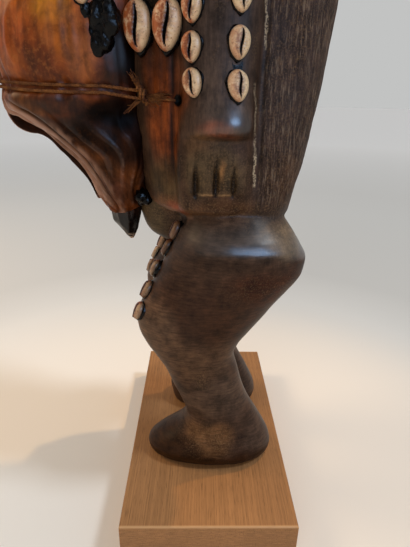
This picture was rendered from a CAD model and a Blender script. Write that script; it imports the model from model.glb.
import functools
import itertools
import math

import bmesh
import bpy
import numpy as np
from bpy.props import FloatProperty, FloatVectorProperty, IntProperty, PointerProperty
from mathutils import Matrix, Vector


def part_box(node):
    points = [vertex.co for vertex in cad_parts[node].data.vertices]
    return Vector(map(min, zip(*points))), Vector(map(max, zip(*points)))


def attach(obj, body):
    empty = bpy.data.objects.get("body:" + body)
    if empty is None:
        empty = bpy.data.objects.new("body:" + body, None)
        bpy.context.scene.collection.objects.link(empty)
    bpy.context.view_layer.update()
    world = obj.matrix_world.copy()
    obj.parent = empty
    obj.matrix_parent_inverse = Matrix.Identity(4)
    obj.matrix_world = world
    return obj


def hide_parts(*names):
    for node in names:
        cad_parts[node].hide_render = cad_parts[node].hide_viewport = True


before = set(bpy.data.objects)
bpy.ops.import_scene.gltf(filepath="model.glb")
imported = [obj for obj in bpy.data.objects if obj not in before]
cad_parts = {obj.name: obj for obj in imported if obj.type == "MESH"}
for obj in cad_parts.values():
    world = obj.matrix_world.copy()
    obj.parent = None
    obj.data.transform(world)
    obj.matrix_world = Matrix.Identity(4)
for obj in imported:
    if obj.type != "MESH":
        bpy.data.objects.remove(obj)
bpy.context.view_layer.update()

bl_info = {
    "name": "Power Figure",
    "version": (1, 0, 0),
    "blender": (4, 5, 0),
    "location": "View3D > Sidebar > Power Figure",
    "description": "Carved power figure with a hide bundle, a tie cord and cowrie shells on an oak plinth",
    "category": "Object",
}

# Height of the soles above the frame's origin, in metres
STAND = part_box("figure")[0].z
BODY = "root"

# Stations of each carved form, from low to high: height, inner x, outer x, front y, back y,
# the y where it is widest, and its squareness, where 2 is an ellipse and more is squarer
LEG = [
    (0, 15, 69, -52, 57, 8, 2.2),
    (5, 9.5, 73.5, -58, 62, 9, 2.15),
    (11, 8, 75, -59, 63, 9, 2.15),
    (19, 9, 74, -51, 61.5, 10, 2.15),
    (28, 12, 71.5, -37, 57.5, 11, 2.2),
    (37, 14.5, 69, -26.5, 52.5, 13, 2.2),
    (48, 16.5, 67, -20.5, 46, 13, 2.2),
    (62, 17.5, 65.5, -25.5, 38, 7, 2.2),
    (80, 18, 64.5, -33.8, 31, 0, 2.2),
    (97, 17.5, 65, -40.8, 26.5, -7, 2.2),
    (113, 16, 67, -50, 22.5, -13, 2.2),
    (125, 14.5, 69, -57.4, 26.5, -14, 2.2),
    (140, 12, 72, -63.6, 36.6, -10, 2.2),
    (153, 9, 75, -65, 46.2, -5, 2.2),
    (166, 6, 78, -59.6, 54.8, 1, 2.2),
    (182, 2, 80.5, -50.8, 67.4, 10, 2.2),
    (197, -2, 82, -43.3, 77.6, 17, 2.2),
    (208, -3, 83, -37.3, 79, 20, 2.2),
    (219, -3, 84, -31.5, 73.5, 21, 2.2),
    (226, -3, 81.5, -28.5, 69, 20, 2.2),
    (234, -3, 74, -26, 63.5, 19, 2.2),
    (243, -3, 66, -22, 56.8, 18, 2.2),
    (252, -3, 58, -18, 50, 16, 2.2),
]
TRUNK = [
    (236, -50, 50, -20, 60, 20, 2.4),
    (243, -61, 61, -42, 66, 21, 2.5),
    (251, -64, 64, -55, 67.5, 23, 2.5),
    (262, -65, 65, -59, 69.5, 25, 2.45),
    (281, -65, 65, -63, 75, 28, 2.4),
    (300, -65, 65, -66, 78, 29, 2.4),
    (322, -64, 64, -69, 81, 30, 2.5),
    (350, -62, 62, -75, 84.5, 30, 2.65),
    (380, -61, 61, -76, 88, 30, 2.6),
    (410, -62, 62, -66, 90.5, 31, 2.45),
    (440, -65, 65, -50, 92, 33, 2.4),
    (470, -72, 72, -36, 90, 34, 2.35),
    (492, -75, 75, -26, 84, 34, 2.3),
    (506, -66, 66, -14, 73, 33, 2.2),
    (515, -48, 48, 0, 62, 32, 2.1),
]
GROIN = [
    (206, -8, 8, -38, -14, -24, 2),
    (210, -16, 16, -44.5, -8, -20, 2),
    (216, -21, 21, -54, -5, -18, 2),
    (226, -25, 25, -60.5, -5, -18, 2),
    (247, -31, 31, -65, -5, -18, 2.1),
    (262, -33, 33, -63.5, -5, -18, 2.1),
    (272, -28, 28, -55, -5, -18, 2.1),
]
ARM = [
    (247, 38, 64, -25.5, 26, 6, 2.6),
    (253, 38, 68.5, -28, 28.5, 5, 2.8),
    (262, 38, 70.5, -28.5, 29.5, 4, 3),
    (282, 38, 72, -29.5, 29, 3.5, 3),
    (298, 38, 72.5, -29.3, 27.5, 3.5, 2.8),
    (302, 38, 73.5, -28.5, 27, 4, 2.5),
    (305, 38, 78.5, -27.5, 27, 6, 2.2),
    (310, 38, 80.5, -27, 27.5, 6, 2.1),
    (321, 38, 79, -26.5, 28, 6, 2),
    (338, 38, 75.5, -25.5, 29, 6, 2),
    (365, 38, 74, -26, 30, 6, 2),
    (400, 38, 75, -25, 33, 8, 2),
    (435, 38, 79.5, -19, 42, 14, 2),
    (465, 38, 87, -10, 56, 22, 2.1),
    (487, 38, 92, 0, 67, 32, 2.1),
    (501, 36, 89, 6, 66, 35, 2.1),
    (511, 34, 77, 15, 58, 36, 2),
    (515, 30, 62, 24, 50, 36, 2),
]
NECK = [
    (498, -36, 36, -4, 70, 33, 2),
    (518, -29.5, 29.5, 5, 63, 33, 2),
    (545, -28.5, 28.5, 6, 62, 33, 2),
    (575, -32, 32, 4, 66, 34, 2),
]
HEAD = [
    (548, -14, 14, -23, 20, -4, 2),
    (553, -23, 23, -27, 34, 3, 2.1),
    (562, -32, 32, -29, 50, 13, 2.2),
    (576, -40, 40, -30, 66, 24, 2.2),
    (594, -46, 46, -30.5, 79, 32, 2.2),
    (615, -50, 50, -31, 87.5, 36, 2.2),
    (640, -52.5, 52.5, -32.5, 92, 38, 2.2),
    (664, -52, 52, -31, 92, 38, 2.2),
    (686, -47, 47, -23, 85.5, 36, 2.2),
    (702, -37, 37, -9, 72.5, 33, 2.1),
    (711, -24, 24, 7, 56, 31, 2),
    (715, -9, 9, 22, 40, 31, 2),
]
NOSE = [
    (592, -9, 9, -41, -22, -30, 2.2),
    (597, -10.5, 10.5, -47, -22, -30, 2.1),
    (603, -8.5, 8.5, -49.5, -22, -30, 2),
    (615, -6, 6, -45, -22, -30, 2),
    (630, -4.8, 4.8, -39.5, -22, -30, 2),
    (644, -5, 5, -35, -22, -30, 2),
]
HIDE = [
    (236, -5, 21, -89.5, -67, -77, 2),
    (242, -9, 25, -91, -61, -74, 2),
    (250, -17, 28, -96, -54, -74, 2.1),
    (268, -28, 35, -107, -48, -75, 2.3),
    (289, -39, 43, -121, -46, -78, 2.4),
    (299, -44, 47, -135, -46, -82, 2.4),
    (305, -47, 49, -150, -46, -86, 2.4),
    (311, -49, 51, -162, -46, -89, 2.4),
    (318, -51, 53, -169, -46, -91, 2.4),
    (327, -51.5, 53, -170.5, -46, -91, 2.4),
    (336, -50, 51, -168, -46, -91, 2.4),
    (346, -53, 54, -171.5, -46, -92, 2.4),
    (366, -55, 56, -174, -44, -95, 2.3),
    (390, -54, 55, -169, -40, -94, 2.2),
    (412, -48, 49, -153, -36, -87, 2.1),
    (430, -37, 38, -129, -32, -76, 2),
    (440, -23, 24, -101, -30, -64, 2),
]
HIDE_TIP = [
    (209.5, 4, 9, -73.5, -70, -71.8, 2),
    (214, 2, 11.5, -77, -68.3, -72, 1.8),
    (221, -1, 15, -82, -66, -73, 1.8),
    (228, -3, 18, -87.5, -64, -74, 1.8),
    (235, -5, 20, -88.5, -62.5, -74, 1.9),
    (244, -7, 22, -89, -61.5, -74, 2),
]
PITCH = [
    (354, 36, 53, -84, -79, -81.5, 2),
    (361, 34, 56.5, -86.5, -74, -80.5, 2),
    (373, 30, 59.5, -88, -69.5, -79, 2),
    (386, 28, 59, -86.5, -69, -78, 2),
    (396, 30, 55, -82, -71, -77, 2),
]
# Places that the carving, the stains and the wear share, in millimetres
PEG_HOLE_Y, PEG_HOLE_Z = -27.4, 327.3
THIGH_PIT = (47, -29, 238)
WRIST_Z = 313
MOUTH_LINE = (0, -38, 576.6)
# The point near the hide's tip that its folds fan out from, and the height of the hollow under each knot
FAN_Y, FAN_Z = -66, 226
KNOT_HOLLOW_Z = 316
# How far the eyes and brows are turned, so that they follow the curve of the head
FACE_TURN = 0.49
# Egg-shaped bosses of the face: the lips, and on each side the eye, brow and ear.
# Each has its centre, its half sizes and its turn about z
LIPS = [((0, -29, 580), (17, 7, 3.4), 0), ((0, -28.5, 573), (14, 7, 4), 0)]
FACE_SIDES = [
    ((21.5, -24.6, 632), (12, 5.5, 6.5), FACE_TURN),
    ((22.5, -24.4, 646), (17, 6, 3.8), FACE_TURN),
    ((51, 36, 622), (6, 11, 20), 0),
]
# Hollows pressed into the wood on each side, in the ear, the flank and the groin: centre and half sizes
HOLLOWS = [
    ((58, 34, 623), (5, 6, 12)),
    ((62, PEG_HOLE_Y, PEG_HOLE_Z), (10, 3.1, 3.9)),
    (THIGH_PIT, (11, 8.5, 7)),
]
# Gaps between the fingers: y, low z, high z, half width at the foot, depth
FINGER_GAPS = [
    (-14.2, 259, 287.5, 3.0, 5.5),
    (0.6, 261, 291, 2.8, 5.5),
    (13.5, 260.5, 285.5, 2.3, 4.5),
]
# Pale rubbed edges on the side: z from and to, y there, half width and strength
WORN_LINES = [
    (270, 291, 29.4, 28.2, 0.7, 0.9),
    (291, 322, 28.2, 27.0, 0.3, 0.5),
    (322, 338, 27.0, 24.6, 0.3, 0.4),
    (361.5, 392, 31.9, 30.6, 0.55, 0.7),
]
# Routes of the hide's two front edges, from the top of the bundle down to its tip
NEAR_EDGE = [
    (4, -124, 431), (6, -149, 415), (8, -164, 396), (8, -168.5, 376), (8, -167.5, 354), (8, -166.4, 343),
    (8, -165, 333), (8, -165.8, 326), (8.5, -164.5, 319.6), (9, -157, 316.4), (9.5, -150, 312.6),
    (9.5, -143, 309.2), (9, -135, 303.6), (8.5, -125, 293.6), (8, -112.6, 281.7), (8, -102.8, 268),
    (8, -95.6, 252.2), (7.5, -89, 241),
]
FAR_EDGE = [
    (-4, -126, 431), (-7, -152, 416), (-9, -168, 397), (-10, -173, 376), (-10, -173.5, 352),
    (-10, -173, 335), (-10, -172.5, 324), (-9.5, -170.5, 315.5), (-9, -165.5, 307.6), (-8.5, -157.5, 303.6),
    (-8, -149, 302.4), (-7, -141.6, 299.6), (-5, -129.5, 288.5), (-4, -115.5, 274.2), (-3, -106, 262),
    (-2, -98, 246),
]
# Soft-edged zones of colour on the wood, with x counted outwards: centre, half sizes, colour, strength
WOOD_BASE = "#3d2a1e"
WOOD_ZONES = [
    ((40, 60, 400), (90, 40, 190), "#3f302a", 0.8),
    ((64, 0, 380), (26, 30, 70), "#423630", 0.7),
    ((76, 2, 332), (14, 24, 24), "#53433a", 0.7),
    ((60, -40, 325), (20, 16, 56), "#7b3a13", 0.97),
    ((60, -36, 296), (20, 8, 26), "#6c3314", 0.8),
    ((60, -44, 357), (20, 18, 16), "#2c1508", 0.75),
    ((60, -46, 268), (20, 22, 22), "#4a3820", 0.75),
    ((60, -52, 388), (20, 26, 27), "#160c07", 0.9),
    ((74, 3, 280), (16, 26, 20), "#50402c", 0.9),
    ((78, 2, 311), (12, 18, 7), "#6a3a26", 0.8),
    ((76, -14, 300), (14, 8, 12), "#5c4128", 0.6),
    ((72, 0, 250), (24, 42, 10), "#4c3220", 0.75),
    ((60, 64, 268), (30, 22, 26), "#503828", 0.75),
    ((45, -30, 250), (26, 22, 12), "#6d4426", 0.7),
    ((12, -56, 236), (26, 24, 26), "#4a3c28", 0.8),
    ((58, -32, 249), (14, 8, 8), "#743626", 0.8),
    ((50, 20, 232), (50, 60, 20), "#40352e", 0.8),
    ((60, 58, 228), (40, 24, 16), "#6b5a44", 0.75),
    ((60, 50, 190), (50, 46, 20), "#391a09", 0.92),
    ((50, 0, 168), (50, 60, 34), "#3b2416", 0.85),
    ((50, -48, 150), (40, 24, 30), "#5e4634", 0.8),
    ((50, -20, 118), (40, 50, 28), "#5a4230", 0.75),
    ((50, 10, 74), (40, 50, 26), "#513e31", 0.75),
    ((66, 2, 30), (22, 24, 18), "#664629", 0.75),
    ((60, -30, 14), (30, 34, 18), "#301b09", 0.88),
    ((60, 20, 8), (40, 60, 9), "#2e1908", 0.88),
    ((50, 52, 28), (36, 22, 30), "#46362c", 0.6),
]
HIDE_BASE = "#662f0c"
HIDE_ZONES = [
    ((30, -92, 272), (60, 46, 40), "#5e3519", 0.75),
    ((30, -120, 400), (60, 60, 34), "#9a4e0e", 0.9),
    ((50, -113, 384), (26, 14, 13), "#c4801a", 0.8),
    ((52, -108, 372), (30, 16, 22), "#a3591c", 0.65),
    ((50, -140, 366), (26, 16, 24), "#8a3f10", 0.7),
    ((50, -92, 354), (26, 12, 16), "#9c5a30", 0.7),
    ((50, -68, 352), (26, 13, 26), "#301404", 0.92),
    ((50, -150, 350), (40, 24, 9), "#79401b", 0.7),
    ((50, -140, 322), (40, 26, 11), "#57351a", 0.8),
    ((50, -112, 326), (30, 22, 8), "#2f1607", 0.85),
    ((50, -116, 306), (40, 16, 13), "#1f1008", 0.86),
    ((50, -129, 312), (40, 7, 5), "#433a34", 0.6),
    ((50, -92, 308), (40, 24, 20), "#140803", 0.93),
    ((40, -68, 296), (30, 20, 26), "#241107", 0.9),
    ((34, -88, 276), (40, 16, 14), "#52301a", 0.7),
    ((24, -84, 258), (30, 16, 16), "#553326", 0.7),
    ((50, -74, 318), (30, 24, 13), "#0b0503", 0.94),
    ((50, -60, 356), (30, 12, 18), "#0b0503", 0.94),
    ((50, -100, 325), (30, 8, 7), "#3a1c0a", 0.7),
    ((20, -64, 247), (12, 9, 7), "#160b07", 0.9),
    ((30, -122, 296), (40, 14, 14), "#4a2f1e", 0.6),
]
# Lumps of pitch that hold the hide on each side, and at its tip: centre and half sizes
PITCH_DROPS = [
    ((48, -84, 372), (9, 6, 12)),
    ((51, -80, 378), (9, 8, 13)),
    ((51, -82, 360), (7, 6, 9)),
    ((48, -80, 351), (4.5, 3.5, 5.5)),
    ((57, -72, 377), (6.5, 7, 12)),
    ((54, -76, 365), (6.5, 6, 9)),
    ((53, -88, 381), (5, 4, 8)),
    ((55, -77, 392), (6, 7, 7)),
]
LOW_DROPS = [
    ((26, -59, 252.5), (7.5, 7, 6)),
    ((23, -62, 257.5), (6, 4.5, 4)),
    ((28, -54.5, 248.5), (4.5, 4, 4)),
    ((17, -62, 247.5), (6, 5.5, 5)),
]
# Tie cord: its knot, the cord to the peg hole, the frayed ends as start, ends, fibres to an end and spread,
# and the heights of its strands at the knot and in front
KNOT = (50, -53, 331)
CORD_TO_HOLE = [(50, -51, 329.5), (55, -42, 328.6), (59, -34, 327.6), (58, -29, 327.3)]
FRAYED = [
    ((51, -50, 329), [(59, -34, 328.5), (60, -40, 324), (58, -31, 331)], 16, 1.5),
    ((51, -54, 334), [(52, -62, 345), (54, -56, 341)], 22, 1.1),
    ((50, -56, 327), [(49, -66, 318)], 10, 0.9),
]
STRANDS = [(333, 338.4), (327.6, 334.8)]
# How stained the shells of a place are, least and most: up to 1, or up to 2 where they are grimy all over.
# The first word that a shell's name holds counts, and the empty one stands for the rest
SHELL_STAINS = {
    "thigh": (1.3, 1.9),
    "flank": (0.95, 1.0),
    "front": (0.6, 1.0),
    "arm": (0.25, 0.6),
    "": (0.4, 0.9),
}
# The finest spacing of each carved skin in metres, and the most triangles that it keeps
HIDE_VOXEL, HIDE_TRIANGLES = 0.0013, 150000
TIP_VOXEL, TIP_TRIANGLES = 0.0008, 30000
PITCH_VOXEL, PITCH_TRIANGLES = 0.0009, 40000
# How much coarser the skins are in a quick test
# Camera: its place above the plinth in metres, its turns in degrees, and in pixels its focal length and
# the photograph's long side
EYE = (0.3831046, -0.0137014, 0.329037)
YAW, PITCH_DOWN, ROLL = 1.38986, 22.19142, 1.1488
FOCAL_PIXELS, LONG_SIDE_PIXELS = 428.0, 547
# Starting numbers of the random draws for the cord's loose fibres and the shells' stains
FIBRE_SEED, SHELL_SEED = 71, 91
# Points round a bed of pitch, and how far under its shells each bridge between two beds lies, in metres
BED_COLUMNS, BRIDGE_DEPTH = 28, 0.0018
# Daylight: the way it comes from and its colour. Warm spot: place, aim, watts and colour
DAYLIGHT = ((0.1, 0.55, 0.83), (0.8, 0.9, 1.0))
WARM_SPOT = ((-0.45, 0.75, 1.5), (0.1, -0.05, 0.0), 31, (1.0, 0.61, 0.26))
# Area lamps: place, aim, width and height, watts and colour
LAMPS = {
    "warm panel": ((-0.15, -1.05, 1.05), (-0.05, -0.15, 0.05), (0.55, 0.55), 6, (1.0, 0.7, 0.4)),
    "front panel": ((1.7, -0.5, 1.1), (0, 0, 0.3), (1.3, 1.3), 10, (1.0, 0.94, 0.87)),
    "window": ((1.05, 0.56, 0.8), (0.05, 0, 0.28), (1.1, 0.62), 15, (0.38, 0.62, 1.0)),
}


def linear(code):
    """An sRGB hex colour as linear RGBA."""
    parts = [int(code[i : i + 2], 16) / 255 for i in (1, 3, 5)]
    return [c / 12.92 if c <= 0.04045 else ((c + 0.055) / 1.055) ** 2.4 for c in parts] + [1.0]


def hex_of(colour):
    """A linear colour property as an sRGB hex code."""
    parts = [c * 12.92 if c <= 0.0031308 else 1.055 * c ** (1 / 2.4) - 0.055 for c in colour[:3]]
    return "#" + "".join(f"{round(min(1, max(0, c)) * 255):02x}" for c in parts)


def ramp(value, low, high):
    """0 below low, 1 above high, and smooth between."""
    t = np.clip((value - low) / (high - low), 0, 1)
    return t * t * (3 - 2 * t)


def stretch(value, low, full, fall, end):
    """1 from full to fall, 0 below low and above end, and smooth between."""
    return ramp(value, low, full) * (1 - ramp(value, fall, end))


def hump(value, middle, width):
    """1 at the middle, falling smoothly to almost 0 at two widths from it."""
    return np.exp(-(((value - middle) / width) ** 2))


def strongest(*fields):
    """The greatest of several fields at each point."""
    return functools.reduce(np.maximum, fields)


def mottle(points, size, seed):
    """A smooth field between -1 and 1 whose features have about the given size."""
    place = points / np.array(size, float)
    cell = np.floor(place).astype(np.int64)
    part = place - cell
    part = part * part * (3 - 2 * part)
    total = np.zeros(len(points))
    for corner in itertools.product((0, 1), repeat=3):
        at = cell + np.array(corner)
        # Large odd numbers mix each corner's cell into an even scatter of 16 bits
        mixed = at @ np.array([374761393, 668265263, 1442695041]) + seed * 974711 & 0xFFFFFFFF
        mixed = ((mixed ^ (mixed >> 13)) * 1274126177) & 0xFFFFFFFF
        value = ((mixed ^ (mixed >> 16)) & 0xFFFF) / 32767.5 - 1
        total += value * np.prod(np.where(np.array(corner) == 1, part, 1 - part), axis=1)
    return total


def ridged(field):
    """Ridges where a field is near 0, and hollows where it is far from 0."""
    return 1 - 2 * np.abs(field)


def smooth_curve(knots, values, at):
    """Values at heights between the knots, on curves that never swing past them."""
    knots = np.asarray(knots, float)
    values = np.asarray(values, float)
    step = np.diff(knots)[:, None]
    rate = np.diff(values, axis=0) / step
    slope = np.zeros_like(values)
    same = rate[:-1] * rate[1:] > 0
    first = 2 * step[1:] + step[:-1]
    second = step[1:] + 2 * step[:-1]
    safe_low = np.where(same, rate[:-1], 1)
    safe_high = np.where(same, rate[1:], 1)
    slope[1:-1] = np.where(same, (first + second) / (first / safe_low + second / safe_high), 0)
    slope[0] = rate[0]
    slope[-1] = rate[-1]
    i = np.clip(np.searchsorted(knots, at, side="right") - 1, 0, len(knots) - 2)
    gap = step[i]
    t = ((at - knots[i]) / gap[:, 0])[:, None]
    start = values[i] * (1 + 2 * t) * (1 - t) ** 2 + slope[i] * gap * t * (1 - t) ** 2
    return start + values[i + 1] * t * t * (3 - 2 * t) + slope[i + 1] * gap * t * t * (t - 1)


def smooth_route(route, count=None):
    """Points spread evenly along a smooth route, a millimetre apart if no count is given."""
    points = np.array(route, float)
    reach = np.concatenate([[0], np.cumsum(np.linalg.norm(np.diff(points, axis=0), axis=1))])
    return smooth_curve(reach, points, np.linspace(0, reach[-1], count or max(8, round(reach[-1]))))


def mirrored(stations):
    """The same table on the other side of the body."""
    return [(z, -outer, -inner, *rest) for z, inner, outer, *rest in stations]


def right_leg():
    """The right leg's table: its foot is shorter in front and its heel stands further forward."""
    foot_top, toe_y, heel_shift = 113, -37, 6
    table = []
    for z, inner, outer, front, back, widest, power in mirrored(LEG):
        shift = heel_shift * max(0, 1 - z / foot_top)
        table.append((z, inner, outer, max(front, toe_y - z * 0.2), back - shift, widest - shift / 2, power))
    return table


def squared(value, power):
    """Signed power, which squares off a circle's sine and cosine."""
    return np.sign(value) * np.abs(value) ** (2 / power)


def circle_angles(columns):
    """Even angles round a circle, as one row."""
    return np.linspace(0, 2 * math.pi, columns, endpoint=False)[None, :]


def station_grid(stations, step, columns):
    """Points of the skin through a table's stations, as rows of equal count."""
    table = np.array(stations, float)
    rows = max(6, round((table[-1, 0] - table[0, 0]) / step))
    heights = np.linspace(table[0, 0], table[-1, 0], rows)
    sides = smooth_curve(table[:, 0], table[:, 1:], heights).T
    inner, outer, front, back, widest, power = (side[:, None] for side in sides)
    across = squared(np.cos(circle_angles(columns)), power)
    along = squared(np.sin(circle_angles(columns)), power)
    reach = np.where(along > 0, back - widest, widest - front)
    x = (inner + outer) / 2 + (outer - inner) / 2 * across
    y = widest + reach * along
    return np.stack([x, y, heights[:, None] + 0 * x], -1)


def egg_grid(centre, half_sizes, turn=0, rows=20, columns=28):
    """Points of an egg-shaped boss turned about z, as rows of equal count."""
    height = np.linspace(-0.995, 0.995, rows)[:, None]
    girth = np.sqrt(1 - height**2)
    angle = circle_angles(columns)
    shape = np.stack([girth * np.cos(angle), girth * np.sin(angle), height + 0 * angle], -1)
    shape = shape * np.array(half_sizes)
    turned = [[math.cos(turn), math.sin(turn), 0], [-math.sin(turn), math.cos(turn), 0], [0, 0, 1]]
    return shape @ np.array(turned) + np.array(centre)


def tube_grid(route, radius, columns=14):
    """Points of a round bar along a route, as rows of equal count."""
    line = smooth_route(route)
    ahead = np.gradient(line, axis=0)
    ahead /= np.linalg.norm(ahead, axis=1)[:, None]
    beside = np.cross(ahead, np.array([1.0, 0.05, 0.1]))
    beside /= np.linalg.norm(beside, axis=1)[:, None]
    upper = np.cross(beside, ahead)
    angle = circle_angles(columns)[..., None]
    return line[:, None] + (np.cos(angle) * beside[:, None] + np.sin(angle) * upper[:, None]) * radius


def skin_faces(rows, columns, start=0):
    """The quads between rows of points, and a flat end at the first row and the last."""
    index = np.arange(rows * columns).reshape(rows, columns) + start
    ahead = np.roll(index, -1, axis=1)
    quads = np.stack([index[:-1], ahead[:-1], ahead[1:], index[1:]], -1).reshape(-1, 4)
    return [*quads.tolist(), index[0, ::-1].tolist(), index[-1].tolist()]


def grids_mesh(name, grids):
    """One mesh of closed skins, each with flat ends, moved from the forms' millimetres into the frame."""
    places, faces, start = [], [], 0
    for grid in grids:
        rows, columns = grid.shape[:2]
        places.append(grid.reshape(-1, 3))
        faces += skin_faces(rows, columns, start)
        start += rows * columns
    mesh = bpy.data.meshes.new(name)
    mesh.from_pydata(in_frame(np.concatenate(places)).tolist(), [], faces)
    mesh.update()
    facing = bmesh.new()
    facing.from_mesh(mesh)
    bmesh.ops.recalc_face_normals(facing, faces=facing.faces)
    facing.to_mesh(mesh)
    facing.free()
    return mesh


def in_frame(points):
    """From the forms' millimetres to the frame's metres."""
    return np.asarray(points, float) / 1000 + np.array([0, 0, STAND])


def in_forms(points):
    """From the frame's metres to the forms' millimetres."""
    return (np.asarray(points, float) - np.array([0, 0, STAND])) * 1000


def rows_of(values, field):
    """Vectors read from a mesh's vertices or normals, as an array."""
    flat = np.empty(len(values) * 3, np.float32)
    values.foreach_get(field, flat)
    return flat.reshape(-1, 3).astype(float)


def on_skin(mesh):
    """A mesh's vertices in the forms' millimetres, and their normals."""
    return in_forms(rows_of(mesh.vertices, "co")), rows_of(mesh.vertex_normals, "vector")


def move_to(mesh, points):
    """Puts a mesh's vertices at new places, given in the forms' millimetres."""
    mesh.vertices.foreach_set("co", in_frame(points).astype(np.float32).ravel())
    mesh.update()


def outwards(points):
    """The points with x counted outwards from the middle."""
    return np.stack([np.abs(points[:, 0]), points[:, 1], points[:, 2]], 1)


def facing_out(points, normals):
    """How far each point faces away from the middle."""
    return np.clip(normals[:, 0] * np.sign(points[:, 0]), 0, 1)


def linked(name, mesh):
    """An object for a mesh, in the scene."""
    made = bpy.data.objects.new(name, mesh)
    bpy.context.scene.collection.objects.link(made)
    return made


def applied(holder, name):
    """The plain mesh that an object's modifiers give. The object is removed."""
    graph = bpy.context.evaluated_depsgraph_get()
    mesh = bpy.data.meshes.new_from_object(holder.evaluated_get(graph))
    mesh.name = name
    bpy.data.objects.remove(holder)
    return mesh


def fused(mesh, voxel):
    """The overlapping skins of a mesh as one skin, rebuilt at one even spacing."""
    holder = linked("fusing", mesh)
    change = holder.modifiers.new("fuse", "REMESH")
    change.mode = "VOXEL"
    change.voxel_size = voxel
    return applied(holder, mesh.name)


def thinned(mesh, most_triangles):
    """The same mesh with fewer triangles where it is flat."""
    count = sum(len(face.vertices) - 2 for face in mesh.polygons)
    if count <= most_triangles:
        return mesh
    holder = linked("thinning", mesh)
    change = holder.modifiers.new("thin", "DECIMATE")
    change.ratio = most_triangles / count
    return applied(holder, mesh.name)


def carved(name, grids, voxel, most_triangles, carve):
    """A mesh of skins fused into one, carved by a function of its points and normals, and thinned."""
    mesh = fused(grids_mesh(name, grids), voxel)
    move_to(mesh, carve(*on_skin(mesh)))
    return thinned(mesh, most_triangles)


def pressed(points, normals, centre, half_sizes):
    """Points inside an egg shape go inwards until they lie on it, by 9 mm at the most."""
    deepest = 9
    near = (points - np.array(centre)) / np.array(half_sizes)
    inward = -normals / np.array(half_sizes)
    a = np.einsum("ij,ij->i", inward, inward)
    b = np.einsum("ij,ij->i", near, inward)
    c = np.einsum("ij,ij->i", near, near) - 1
    inside = c < 0
    depth = np.zeros(len(points))
    depth[inside] = (-b[inside] + np.sqrt(b[inside] ** 2 - a[inside] * c[inside])) / a[inside]
    return points - normals * np.minimum(depth, deepest)[:, None]


def coloured(colour, cover, code):
    """Each point's colour, covered by another colour as far as the cover says."""
    return colour * (1 - cover[:, None]) + np.array(linear(code)) * cover[:, None]


def painted(points, base, zones, seed):
    """Each point's colour: a base with soft-edged zones of other colours."""
    colour = np.tile(linear(base), (len(points), 1))
    drift = np.stack([mottle(points, (17, 17, 22), seed + i) for i in range(3)], 1) * 6
    for centre, half_sizes, code, strength in zones:
        away = np.linalg.norm((points + drift - np.array(centre)) / np.array(half_sizes), axis=1)
        colour = coloured(colour, strength * (1 - ramp(away, 0.55, 1.2)), code)
    return colour


def keep_colours(mesh, name, colours):
    """Stores one colour a vertex under a name that a material reads."""
    layer = mesh.attributes.new(name, "FLOAT_COLOR", "POINT")
    layer.data.foreach_set("color", np.asarray(colours, np.float32).ravel())


def keep_masks(mesh, name, *masks):
    """Stores three masks a vertex, held between 0 and 1, under a name that a material reads."""
    held = [np.clip(mask, 0, 1) for mask in masks]
    keep_colours(mesh, name, np.stack([*held, np.ones(len(held[0]))], 1))


def finished(mesh, name, material, nodes):
    """A finished piece: smooth, with its material, on the root body, in place of its CAD nodes."""
    mesh.materials.clear()
    mesh.materials.append(material)
    mesh.shade_smooth()
    piece = linked(name, mesh)
    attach(piece, BODY)
    if nodes:
        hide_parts(*nodes)


def put(tree, kind, inputs=None, stops=(), **settings):
    """Adds a node. A socket is given a value, or another node's output to link from."""
    made = tree.nodes.new(kind)
    for key, value in settings.items():
        setattr(made, key, value)
    for key, value in (inputs or {}).items():
        if isinstance(value, bpy.types.NodeSocket):
            tree.links.new(value, made.inputs[key])
        else:
            made.inputs[key].default_value = value
    for number, (place, colour) in enumerate(stops):
        ramp_stops = made.color_ramp.elements
        element = ramp_stops[number] if number < len(ramp_stops) else ramp_stops.new(place)
        element.position = place
        element.color = colour
    return made


def fed(tree, kind, inputs=None, output=0, **settings):
    """Adds a node and gives back one of its outputs."""
    return put(tree, kind, inputs, **settings).outputs[output]


def noise(tree, place, scale, detail=2.0, roughness=0.5, distortion=0.0, **mapping):
    """A noise value. A scale of three numbers draws the pattern out along the axes."""
    if isinstance(scale, tuple):
        place = fed(tree, "ShaderNodeMapping", {"Vector": place, "Scale": scale, **mapping})
        scale = 1.0
    sockets = {"Vector": place, "Scale": scale, "Detail": detail, "Roughness": roughness}
    return fed(tree, "ShaderNodeTexNoise", {**sockets, "Distortion": distortion})


def spread(tree, value, low, high, to_low=0.0, to_high=1.0):
    """A value carried from one range to another and held at its ends."""
    return fed(tree, "ShaderNodeMapRange", {0: value, 1: low, 2: high, 3: to_low, 4: to_high})


def reckoned(tree, operation, *values, **settings):
    """The result of one math node."""
    return fed(tree, "ShaderNodeMath", dict(enumerate(values)), operation=operation, **settings)


def between(tree, factor, first, second):
    """A value part of the way from one to another."""
    return fed(tree, "ShaderNodeMix", {0: factor, 2: first, 3: second})


def tinted(tree, factor, first, second, blend_type="MIX"):
    """A colour part of the way from one to another, of which the second may be a hex code."""
    second = linear(second) if isinstance(second, str) else second
    sockets = {0: factor, 6: first, 7: second}
    return fed(tree, "ShaderNodeMix", sockets, output=2, data_type="RGBA", blend_type=blend_type)


def shaded(tree, colour, by, factor=1.0):
    """A colour multiplied by a value or by another colour."""
    return tinted(tree, factor, colour, by, "MULTIPLY")


def stored(tree, name, output="Color"):
    """What a mesh keeps at its points under a name."""
    return fed(tree, "ShaderNodeAttribute", output=output, attribute_name=name)


def soft_band(tree, value, middle, half_width, fade):
    """A mask that is 1 where a value lies near the middle and fades out at the band's sides."""
    off = reckoned(tree, "ABSOLUTE", reckoned(tree, "SUBTRACT", value, middle))
    return spread(tree, off, half_width, half_width + fade, 1.0, 0.0)


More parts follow.
